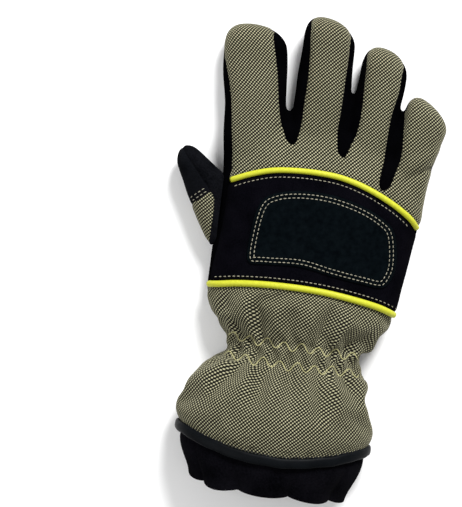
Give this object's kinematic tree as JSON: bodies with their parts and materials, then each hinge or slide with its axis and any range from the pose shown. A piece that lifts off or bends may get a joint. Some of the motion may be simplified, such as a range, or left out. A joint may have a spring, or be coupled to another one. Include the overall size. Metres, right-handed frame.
{
  "type": "firefighter glove",
  "caption": "Right-hand structural firefighting glove with woven back, suede knuckle band, piped seams, reinforced palm, gathered wrist, flared gauntlet and ruffled inner cuff, lying palm down.",
  "frame": {"origin": "centre of the underside of the glove's box, on the surface that the glove lies on", "axes": "+Y to the fingertips, +Z out of the back of the hand, +X to the little finger's side, with the thumb at -X"},
  "size_m": [0.158, 0.2924, 0.0525],
  "materials": {
    "weave": "coarse khaki and black basket weave",
    "suede": "black suede",
    "knit": "black stretch fabric",
    "grip": "charcoal grained grip fabric",
    "piping": "fluorescent yellow piping",
    "binding": "smooth black binding tape",
    "label": "plain matt black patch",
    "fleece": "black fleece",
    "thread": "cream sewing thread"
  },
  "bodies": {
    "root": {"back_panel": "weave", "knuckle_band": "suede", "gauntlet_back": "weave", "palm_panel": "grip", "gauntlet_palm": "grip", "index_middle_gusset": "knit", "middle_ring_gusset": "knit", "ring_little_gusset": "knit", "index_side_strip": "knit", "thumb_side_strip": "knit", "little_side_strip": "knit", "label_patch": "label", "upper_palm_patch": "grip", "heel_patch": "grip", "index_fingertip_patch": "grip", "middle_fingertip_patch": "grip", "ring_fingertip_patch": "grip", "little_fingertip_patch": "grip", "thumb_back": "weave", "thumb_tip_cover": "suede", "thumb_gusset": "knit", "thumb_palm": "grip", "cuff_binding": "binding", "wristlet": "fleece", "upper_piping": "piping", "lower_piping": "piping"}
  },
  "joints": []
}
